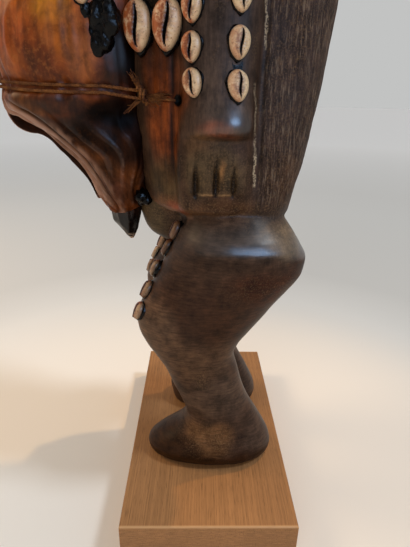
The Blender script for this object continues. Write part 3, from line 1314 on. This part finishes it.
def faceted_horn(points, normals):
    """The tip's points with flats along it, and with a level top."""
    flats = ridged(mottle(points, (7, 7, 26), 61))
    points = points + normals * (0.55 * flats + 0.2 * mottle(points, (3, 3, 6), 62))[:, None]
    points[:, 2] = np.minimum(points[:, 2], 246)
    return points


def horn_stain(points):
    """The tip's colour at each point: black, brown towards its top and pale at its chipped point."""
    z = points[:, 2]
    black = np.tile(linear("#0a0605"), (len(points), 1))
    colour = coloured(black, 0.8 * ramp(z, 231, 238), "#24130e")
    chip = (1 - ramp(z, 213, 216.5)) * ramp(mottle(points, (4, 4, 3), 63), -0.6, 0.1)
    return coloured(colour, chip, "#b89c86")


class FIGURE_OT_tip(bpy.types.Operator):
    """Shape the hide's horn tip"""

    bl_idname = "power_figure.tip"
    bl_label = "Shape Tip"

    def execute(self, context):
        mesh = carved("horn_tip", [station_grid(HIDE_TIP, 0.8, 60)], TIP_VOXEL, TIP_TRIANGLES, faceted_horn)
        points, _ = on_skin(mesh)
        keep_colours(mesh, "stain", horn_stain(points))
        finished(mesh, "horn_tip", black_horn(), ["hide_tip"])
        return {"FINISHED"}


def strand_route(knot_height, front_height):
    """One strand from the knot on the left flank, round the hide's front, to the knot on the right."""
    knot_x, knot_y, first, lift = 48, -53, 10, 2.2
    heights, *sides = np.array(HIDE, float).T
    points = [(knot_x, knot_y, knot_height)]
    for angle in np.radians(np.linspace(first, -180 - first, 46)):
        rise = min(1, (1 - math.cos(angle)) * 2) * min(1, (1 + math.cos(angle)) * 2)
        z = knot_height + (front_height - knot_height) * (0.55 + 0.45 * rise)
        # The sides are straight between the hide's stations
        inner, outer, front, back, widest, power = (np.interp(z, heights, side) for side in sides)
        reach = back - widest if angle > 0 else widest - front
        x = (inner + outer) / 2 + ((outer - inner) / 2 + lift) * squared(math.cos(angle), power)
        points.append((x, widest + (reach + lift) * squared(math.sin(angle), power), z))
    return [*points, (-knot_x, knot_y, knot_height)]


def knot_route(side):
    """A line that winds round the two strands at a knot."""
    turns, radius, half_length = 3, 3.4, 3.2
    x, y, z = KNOT
    route = []
    for t in np.linspace(0, 1, 20 * turns):
        angle = 2 * math.pi * turns * t
        along = half_length * (2 * t - 1)
        across = side * (x + 0.85 * radius * math.cos(angle))
        route.append((across, y + along, z + radius * 1.25 * math.sin(angle) - along))
    return route


def frayed_routes(side, chance):
    """Loose fibres that leave a knot towards several ends."""
    routes = []
    t = np.linspace(0, 1, 7)[:, None]
    for start, ends, count, scatter in FRAYED:
        for end in np.repeat(np.array(ends, float), count, axis=0):
            aim = start + (end - start) * chance.uniform(0.55, 1.05) + chance.normal(0, scatter, 3)
            bow = chance.normal(0, scatter * 0.6, 3)
            origin = start + chance.normal(0, 0.7, 3)
            routes.append((origin + (aim - origin) * t + bow * 4 * t * (1 - t)) * (side, 1, 1))
    return routes


def lines_mesh(name, routes):
    """A mesh of open lines through the routes' points, in the frame's metres."""
    places, edges = [], []
    for route in routes:
        start = len(places)
        places += in_frame(route).tolist()
        edges += [(start + i, start + i + 1) for i in range(len(route) - 1)]
    mesh = bpy.data.meshes.new(name)
    mesh.from_pydata(places, edges, [])
    return mesh


def new_geometry_tree(name, sockets):
    """A geometry tree with a geometry in and out and the named inputs."""
    tree = bpy.data.node_groups.new(name, "GeometryNodeTree")
    tree.interface.new_socket("Geometry", in_out="INPUT", socket_type="NodeSocketGeometry")
    tree.interface.new_socket("Geometry", in_out="OUTPUT", socket_type="NodeSocketGeometry")
    for title, kind in sockets.items():
        tree.interface.new_socket(title, in_out="INPUT", socket_type=f"NodeSocket{kind}")
    return tree


def ended_tree(tree, made, material):
    """The tree, ended with what it has made as one plain mesh with a material."""
    made = fed(tree, "GeometryNodeRealizeInstances", {"Geometry": made})
    made = fed(tree, "GeometryNodeSetMaterial", {"Geometry": made, "Material": material})
    put(tree, "NodeGroupOutput", {"Geometry": made})
    return tree


def run_tree(holder, tree, values):
    """Sets a tree's named inputs by their identifiers and returns the plain mesh it makes."""
    change = holder.modifiers.new("make", "NODES")
    change.node_group = tree
    for item in tree.interface.items_tree:
        if item.item_type == "SOCKET" and item.in_out == "INPUT" and item.name in values:
            change[item.identifier] = values[item.name]
    return applied(holder, holder.name)


def laid_cord_tree():
    """Lays a twisted cord of a few plies along each line of a mesh."""
    sockets = {"Radius": "Float", "Lay": "Float", "Step": "Float", "Plies": "Int", "Hollow": "Float"}
    tree = new_geometry_tree("laid cord", {**sockets, "Material": "Material"})
    given = put(tree, "NodeGroupInput").outputs
    line = fed(tree, "GeometryNodeMeshToCurve", {"Mesh": given["Geometry"]})
    line = fed(tree, "GeometryNodeResampleCurve", {"Curve": line, "Length": given["Step"]}, mode="LENGTH")
    length = fed(tree, "GeometryNodeSplineParameter", output="Length")
    angle = reckoned(tree, "MULTIPLY", reckoned(tree, "DIVIDE", length, given["Lay"]), 2 * math.pi)
    line = fed(tree, "GeometryNodeSetCurveTilt", {"Curve": line, "Tilt": angle})
    low = reckoned(tree, "MULTIPLY", given["Radius"], given["Hollow"])
    star = {"Points": given["Plies"], "Inner Radius": low, "Outer Radius": given["Radius"]}
    section = fed(tree, "GeometryNodeCurveStar", star, output="Curve")
    corner = reckoned(tree, "MULTIPLY", given["Radius"], 0.35)
    rounding = {"Curve": section, "Count": 3, "Radius": corner, "Limit Radius": True}
    section = fed(tree, "GeometryNodeFilletCurve", rounding, mode="POLY")
    sweep = {"Curve": line, "Profile Curve": section, "Fill Caps": True}
    swept = fed(tree, "GeometryNodeCurveToMesh", sweep)
    return ended_tree(tree, swept, given["Material"])


def joined(meshes, name):
    """Several meshes as one."""
    whole = bmesh.new()
    for mesh in meshes:
        whole.from_mesh(mesh)
    made = bpy.data.meshes.new(name)
    whole.to_mesh(made)
    whole.free()
    return made


class FIGURE_OT_cord(bpy.types.Operator):
    """Lay the tie cord"""

    bl_idname = "power_figure.cord"
    bl_label = "Lay Tie Cord"

    def execute(self, context):
        cord = context.scene.tie_cord
        fibre = twisted_fibre(cord)
        chance = np.random.default_rng(FIBRE_SEED)
        strands = [strand_route(*heights) for heights in STRANDS]
        loose, hairs = [], []
        for side in (1, -1):
            strands.append(knot_route(side))
            loose.append([(side * x, y, z) for x, y, z in CORD_TO_HOLE])
            hairs += frayed_routes(side, chance)
        tree = laid_cord_tree()
        # Each kind's routes, radius, lay, step, plies and how far the hollow between two plies lies out
        kinds = {
            "strands": (strands, cord.radius, cord.lay, 0.0006, 3, 0.62),
            "loose ends": (loose, 0.0011, 0.006, 0.0006, 2, 0.6),
            "hairs": (hairs, 0.00034, 0.01, 0.002, 2, 0.7),
        }
        whole = []
        for name, (routes, *sizes) in kinds.items():
            values = dict(zip(("Radius", "Lay", "Step", "Plies", "Hollow"), sizes), Material=fibre)
            whole.append(run_tree(linked(name, lines_mesh(name, routes)), tree, values))
        finished(joined(whole, "laid_tie_cord"), "laid_tie_cord", fibre, ["tie_cord"])
        return {"FINISHED"}


def lumpy_pitch(points, normals):
    """The pitch's points, raised and sunk every few millimetres."""
    move = 1.1 * mottle(points, (5.5, 5.5, 7), 81) + 0.5 * mottle(points, (2.4, 2.4, 3), 82)
    return points + normals * move[:, None]


class FIGURE_OT_pitch(bpy.types.Operator):
    """Press the lumps of pitch"""

    bl_idname = "power_figure.pitch"
    bl_label = "Press Pitch"

    def execute(self, context):
        black = set_pitch(context.scene.black_pitch)
        for side, word in ((1, "left"), (-1, "right")):
            grids = [station_grid(PITCH if side > 0 else mirrored(PITCH), 0.8, 60)]
            grids += [egg_grid((side * x, y, z), half_sizes) for (x, y, z), half_sizes in PITCH_DROPS]
            if side > 0:
                grids += [egg_grid(*drop) for drop in LOW_DROPS]
            name = f"pitch_lump_{word}"
            mesh = carved(name, grids, PITCH_VOXEL, PITCH_TRIANGLES, lumpy_pitch)
            finished(mesh, name, black, [f"pitch_{word}"])
        return {"FINISHED"}


def shell_places():
    """Where each shell's node lies: its base, its turn, and its width, length and height."""
    places = []
    for name in sorted(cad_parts):
        if not name.startswith("cowrie_"):
            continue
        corners = rows_of(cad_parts[name].data.vertices, "co")
        centre = corners.mean(axis=0)
        middle = (corners.min(axis=0) + corners.max(axis=0)) / 2
        _, ways = np.linalg.eigh(np.cov((corners - centre).T))
        outward, along = ways[:, 0], ways[:, 2]
        if outward @ (middle - np.array([0.3 * middle[0], 0.02, middle[2]])) < 0:
            outward = -outward
        if along[2] < 0:
            along = -along
        across = np.cross(along, outward)
        turned = (corners - centre) @ np.stack([across, along, outward]).T
        low, high = turned.min(axis=0), turned.max(axis=0)
        base = centre + across * (low[0] + high[0]) / 2 + along * (low[1] + high[1]) / 2 + outward * low[2]
        places.append((name, base, np.stack([across, along, outward], 1), high - low))
    return places


def shell_outline(columns):
    """Angles round a shell, and how far across and along it reaches there, wider at one end."""
    angle = (np.arange(columns) + 0.5) * 2 * math.pi / columns
    along = np.sin(angle)
    return angle, np.cos(angle) * (1 + 0.14 * along) * (1 - 0.12 * along**4), along


def rings_mesh(name, rings):
    """A smooth mesh through rings of points, closed at both ends."""
    mesh = bpy.data.meshes.new(name)
    mesh.from_pydata(np.concatenate(rings).tolist(), [], skin_faces(len(rings), len(rings[0])))
    mesh.shade_smooth()
    return mesh


def cowrie_mesh(columns):
    """One cowrie of size 1, slit uppermost, with each point's place on the shell stored."""
    # Rise, spread across, spread along, and how far the ring has closed onto the slit
    levels = [
        (0.0, 0.80, 0.84, 0), (0.16, 0.93, 0.95, 0), (0.36, 1.0, 1.0, 0), (0.56, 0.97, 0.97, 0),
        (0.75, 0.87, 0.9, 0.02), (0.89, 0.70, 0.8, 0.08), (0.975, 0.5, 0.76, 0.25), (1.0, 0.32, 0.78, 0.5),
        (0.985, 0.2, 0.81, 0.78), (0.93, 0.12, 0.83, 0.95), (0.8, 0.08, 0.83, 1.0), (0.45, 0.05, 0.79, 1.0),
    ]
    _, across, along = shell_outline(columns)
    rings, spots = [], []
    for level, (rise, wide, long, closed) in enumerate(levels):
        y = 0.5 * along * long
        bow = 0.05 * np.sin(2.4 * math.pi * y) * closed - 0.01 * closed
        slit = 0.046 * np.cos(np.clip(y / 0.4, -1, 1) * math.pi / 2) ** 0.6 + 0.012
        lip = np.sign(across) * slit * (0.8 + 1.2 * wide) + 0.06
        x = 0.5 * across * wide * (1 - closed) + lip * closed + bow
        tall = rise * (1 - 0.1 * closed * (along > 0.9)) - 0.1 * (1 - closed) * rise * along**2
        rings.append(np.stack([x, y, tall * np.where(across < 0, 1.0, 0.95)], 1))
        # The place's third part rises to 1 on the crown and goes on past it into the slit
        depth = rise if level < 8 else 1.0 + 0.12 * (level - 7)
        spots.append(np.stack([across * wide * 0.5, y, np.full(columns, depth)], 1))
    mesh = rings_mesh("cowrie", rings)
    layer = mesh.attributes.new("on_shell", "FLOAT_VECTOR", "POINT")
    layer.data.foreach_set("vector", np.concatenate(spots).astype(np.float32).ravel())
    return mesh


def pitch_bed_mesh(columns):
    """One bed of pitch for a shell of size 1: it laps the shell's rim and spreads down to the wood."""
    levels = [(-0.7, 1.0), (-0.4, 1.08), (-0.06, 1.09), (0.12, 1.05), (0.18, 0.98), (0.14, 0.9)]
    angle, across, along = shell_outline(columns)
    lumps = 1 + 0.05 * np.sin(3 * angle + 0.6) + 0.04 * np.sin(7 * angle) + 0.02 * np.sin(11 * angle + 2)
    rings = []
    for rise, wide in levels:
        reach = 0.5 * wide * (lumps if wide > 1 else 1)
        rings.append(np.stack([across * reach, along * reach, np.full(columns, rise)], 1))
    return rings_mesh("pitch bed", rings)


def set_shells_tree():
    """Sets one copy of an object at each point, turned and sized by the point's own values."""
    tree = new_geometry_tree("set shells", {"Piece": "Object", "Size": "Float", "Material": "Material"})
    given = put(tree, "NodeGroupInput").outputs
    piece = fed(tree, "GeometryNodeObjectInfo", {"Object": given["Piece"]}, output="Geometry")
    turn, size = (
        fed(tree, "GeometryNodeInputNamedAttribute", {"Name": name}, "Attribute", data_type="FLOAT_VECTOR")
        for name in ("turn", "size")
    )
    size = fed(tree, "ShaderNodeVectorMath", {0: size, "Scale": given["Size"]}, operation="SCALE")
    points = fed(tree, "GeometryNodeMeshToPoints", {"Mesh": given["Geometry"]})
    set_down = {"Points": points, "Instance": piece, "Rotation": turn, "Scale": size}
    return ended_tree(tree, fed(tree, "GeometryNodeInstanceOnPoints", set_down), given["Material"])


def shell_shade(name, chance):
    """How stained a shell is: up to 1, and up to 2 where it is grimy all over."""
    return chance.uniform(*next(span for word, span in SHELL_STAINS.items() if word in name))


def points_mesh(name, places, chance):
    """A mesh of single points that keep the turn, size and shade of what is set on them."""
    mesh = bpy.data.meshes.new(name)
    mesh.from_pydata([tuple(base) for _, base, _, _ in places], [], [])
    turns = [tuple(Matrix(turn.tolist()).to_euler()) for _, _, turn, _ in places]
    kept = {
        "turn": ("FLOAT_VECTOR", "vector", turns),
        "size": ("FLOAT_VECTOR", "vector", [size for _, _, _, size in places]),
        "shade": ("FLOAT", "value", [shell_shade(place[0], chance) for place in places]),
    }
    for title, (kind, field, values) in kept.items():
        layer = mesh.attributes.new(title, kind, "POINT")
        layer.data.foreach_set(field, np.array(values, np.float32).ravel())
    return mesh


def bridge_places(places):
    """A drop of pitch between each two neighbours in a column of shells, but none at the flanks."""
    bridges = []
    by_name = {name: place for name, *place in places}
    for name, (base, turn, size) in by_name.items():
        column, number = name.rsplit("_", 1)
        after = f"{column}_{int(number) + 1}" if number.isdigit() else ""
        if after not in by_name or "flank" in name:
            continue
        other = by_name[after][0]
        length = np.linalg.norm(other - base) * 0.36
        middle = (base + other) / 2 - turn[:, 2] * BRIDGE_DEPTH
        bridges.append((name, middle, turn, np.array([size[0] * 0.5, length, 0.004])))
    return bridges


class FIGURE_OT_shells(bpy.types.Operator):
    """Set the cowrie shells in their pitch"""

    bl_idname = "power_figure.shells"
    bl_label = "Set Cowries"

    def execute(self, context):
        shells = context.scene.cowrie_shells
        tree = set_shells_tree()
        chance = np.random.default_rng(SHELL_SEED)
        glaze, black = aged_cowrie(shells), set_pitch(context.scene.black_pitch)
        places = shell_places()
        beds = places + bridge_places(places)
        nodes = [name for name, *_ in places]
        jobs = [
            ("set_cowries", cowrie_mesh(shells.columns), places, glaze, "cowrie_shell", nodes),
            ("pitch_beds", pitch_bed_mesh(BED_COLUMNS), beds, black, "pitch", []),
        ]
        for name, piece, at, finish, slot, replaced in jobs:
            master = linked("master", piece)
            holder = linked(name, points_mesh(name, at, chance))
            mesh = run_tree(holder, tree, {"Piece": master, "Size": 1.0, "Material": finish})
            bpy.data.objects.remove(master)
            finished(mesh, name, finish, replaced)
        return {"FINISHED"}


def paper_floor(stage):
    """A plain sheet of matt paper, 60 m wide, that brightens into the pale wall behind it."""
    reach = 30.0
    corners = [(-reach, -reach, 0), (reach, -reach, 0), (reach, reach, 0), (-reach, reach, 0)]
    mesh = bpy.data.meshes.new("floor")
    mesh.from_pydata(corners, [], [(0, 1, 2, 3)])
    paper, tree, place = new_finish("seamless matt paper", Roughness=0.95, Emission_Strength=1.0)
    away = fed(tree, "ShaderNodeVectorMath", {0: place}, output="Value", operation="LENGTH")
    away = spread(tree, away, 0.0, 4.0)
    near = linear(hex_of(stage.floor_colour))
    middle = [0.85 * value for value in near[:3]] + [1]
    distant = linear(hex_of(stage.distance_colour))
    toned, glow = (
        fed(tree, "ShaderNodeValToRGB", {0: away}, stops=stops)
        for stops in (
            [(0.105, near), (0.145, middle), (0.4, middle), (0.95, distant)],
            [(0.12, (0, 0, 0, 1)), (0.3, (0.04, 0.035, 0.03, 1)), (0.9, (0.08, 0.045, 0.02, 1))],
        )
    )
    mesh.materials.append(completed(paper, {"Base Color": toned, "Emission Color": glow}))
    linked("floor", mesh)


def new_lamp(name, kind, energy, colour, at, to, **settings):
    """A lamp at a place that shines towards another."""
    lamp = bpy.data.lights.new(name, kind)
    lamp.energy = energy
    lamp.color = colour
    for key, value in settings.items():
        setattr(lamp, key, value)
    made = linked(name, lamp)
    made.location = at
    made.rotation_euler = (Vector(to) - Vector(at)).to_track_quat("-Z", "Y").to_euler()
    return made


def room_light(strength):
    """A room that is dim on the camera's side and bright above and behind, with a pale wall to be seen."""
    world = bpy.data.worlds.new("pale room")
    world.use_nodes = True
    tree = world.node_tree
    way = fed(tree, "ShaderNodeSeparateXYZ", {0: fed(tree, "ShaderNodeTexCoord", output="Generated")})
    room = reckoned(tree, "MULTIPLY", spread(tree, way, -0.2, 0.8, 0.44, 0.1), strength)
    fill = tree.nodes["Background"]
    fill.inputs["Color"].default_value = (0.95, 0.98, 1.0, 1)
    tree.links.new(room, fill.inputs["Strength"])
    wall = fed(tree, "ShaderNodeBackground", {"Color": (0.54, 0.545, 0.54, 1), "Strength": strength})
    seen = fed(tree, "ShaderNodeLightPath", output="Is Camera Ray")
    both = fed(tree, "ShaderNodeMixShader", {0: seen, 1: fill.outputs[0], 2: wall})
    tree.links.new(both, tree.nodes["World Output"].inputs["Surface"])
    return world


def photo_camera():
    """The photograph's camera, as solved from the plinth's corners."""
    lens = bpy.data.cameras.new("photo camera")
    lens.sensor_width = 36
    lens.lens = lens.sensor_width * FOCAL_PIXELS / LONG_SIDE_PIXELS
    camera = linked("photo camera", lens)
    yaw, pitch, roll = (math.radians(value) for value in (YAW, PITCH_DOWN, ROLL))
    forward = Vector((-math.cos(yaw) * math.cos(pitch), math.sin(yaw) * math.cos(pitch), -math.sin(pitch)))
    level = forward.cross(Vector((0, 0, 1))).normalized()
    upper = level.cross(forward)
    right = math.cos(roll) * level + math.sin(roll) * upper
    upper = math.cos(roll) * upper - math.sin(roll) * level
    turn = Matrix((right, upper, -forward)).transposed().to_4x4()
    eye = Vector(EYE) + Vector((0, 0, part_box("plinth")[1].z))
    camera.matrix_world = Matrix.Translation(eye) @ turn
    return camera


class FIGURE_OT_stage(bpy.types.Operator):
    """Set the floor, the lights and the camera"""

    bl_idname = "power_figure.stage"
    bl_label = "Set Stage"

    def execute(self, context):
        scene = context.scene
        strength = scene.studio_stage.light_strength
        scene.view_settings.view_transform = "Standard"
        paper_floor(scene.studio_stage)
        # Broad cool daylight from high on the right
        at, colour = DAYLIGHT
        new_lamp("daylight", "SUN", strength, colour, at, (0, 0, 0), angle=math.radians(9))
        for name, (at, to, (width, height), watts, colour) in LAMPS.items():
            sizes = {"shape": "ELLIPSE", "size": width, "size_y": height}
            made = new_lamp(name, "AREA", watts * strength, colour, at, to, **sizes)
            made.visible_camera = False
            made.visible_glossy = name != "front panel"
            made.visible_diffuse = name != "window"
        # A small warm lamp far on the right lights the floor on the left and casts the figure's shadow on it
        at, to, watts, colour = WARM_SPOT
        cone = {"spot_size": math.radians(34), "spot_blend": 0.8, "shadow_soft_size": 0.03}
        new_lamp("warm spot", "SPOT", watts * strength, colour, at, to, **cone)
        scene.world = room_light(strength)
        scene.camera = photo_camera()
        return {"FINISHED"}


STEPS = (
    FIGURE_OT_plinth, FIGURE_OT_carve, FIGURE_OT_hide, FIGURE_OT_tip, FIGURE_OT_cord, FIGURE_OT_pitch,
    FIGURE_OT_shells, FIGURE_OT_stage,
)
SETTINGS = {
    "figure_wood": FigureWood,
    "oak_plinth": OakPlinth,
    "hide_bundle": HideBundle,
    "tie_cord": TieCord,
    "black_pitch": BlackPitch,
    "cowrie_shells": CowrieShells,
    "studio_stage": StudioStage,
}


class FIGURE_PT_panel(bpy.types.Panel):
    """Lists the figure's steps and settings"""

    bl_idname = "FIGURE_PT_panel"
    bl_label = "Power Figure"
    bl_space_type = "VIEW_3D"
    bl_region_type = "UI"
    bl_category = "Power Figure"

    def draw(self, context):
        for title, group in SETTINGS.items():
            box = self.layout.box()
            box.label(text=title.replace("_", " ").title())
            for setting in group.__annotations__:
                box.prop(getattr(context.scene, title), setting)
        for step in STEPS:
            self.layout.operator(step.bl_idname)


def register():
    for group in (*SETTINGS.values(), *STEPS, FIGURE_PT_panel):
        bpy.utils.register_class(group)
    for title, group in SETTINGS.items():
        setattr(bpy.types.Scene, title, PointerProperty(type=group))


def unregister():
    for title in SETTINGS:
        delattr(bpy.types.Scene, title)
    for group in (FIGURE_PT_panel, *reversed(STEPS), *SETTINGS.values()):
        bpy.utils.unregister_class(group)


def main():
    register()
    bpy.ops.power_figure.plinth()
    bpy.ops.power_figure.carve()
    bpy.ops.power_figure.hide()
    bpy.ops.power_figure.tip()
    bpy.ops.power_figure.cord()
    bpy.ops.power_figure.pitch()
    bpy.ops.power_figure.shells()
    bpy.ops.power_figure.stage()


if __name__ == "__main__":
    main()
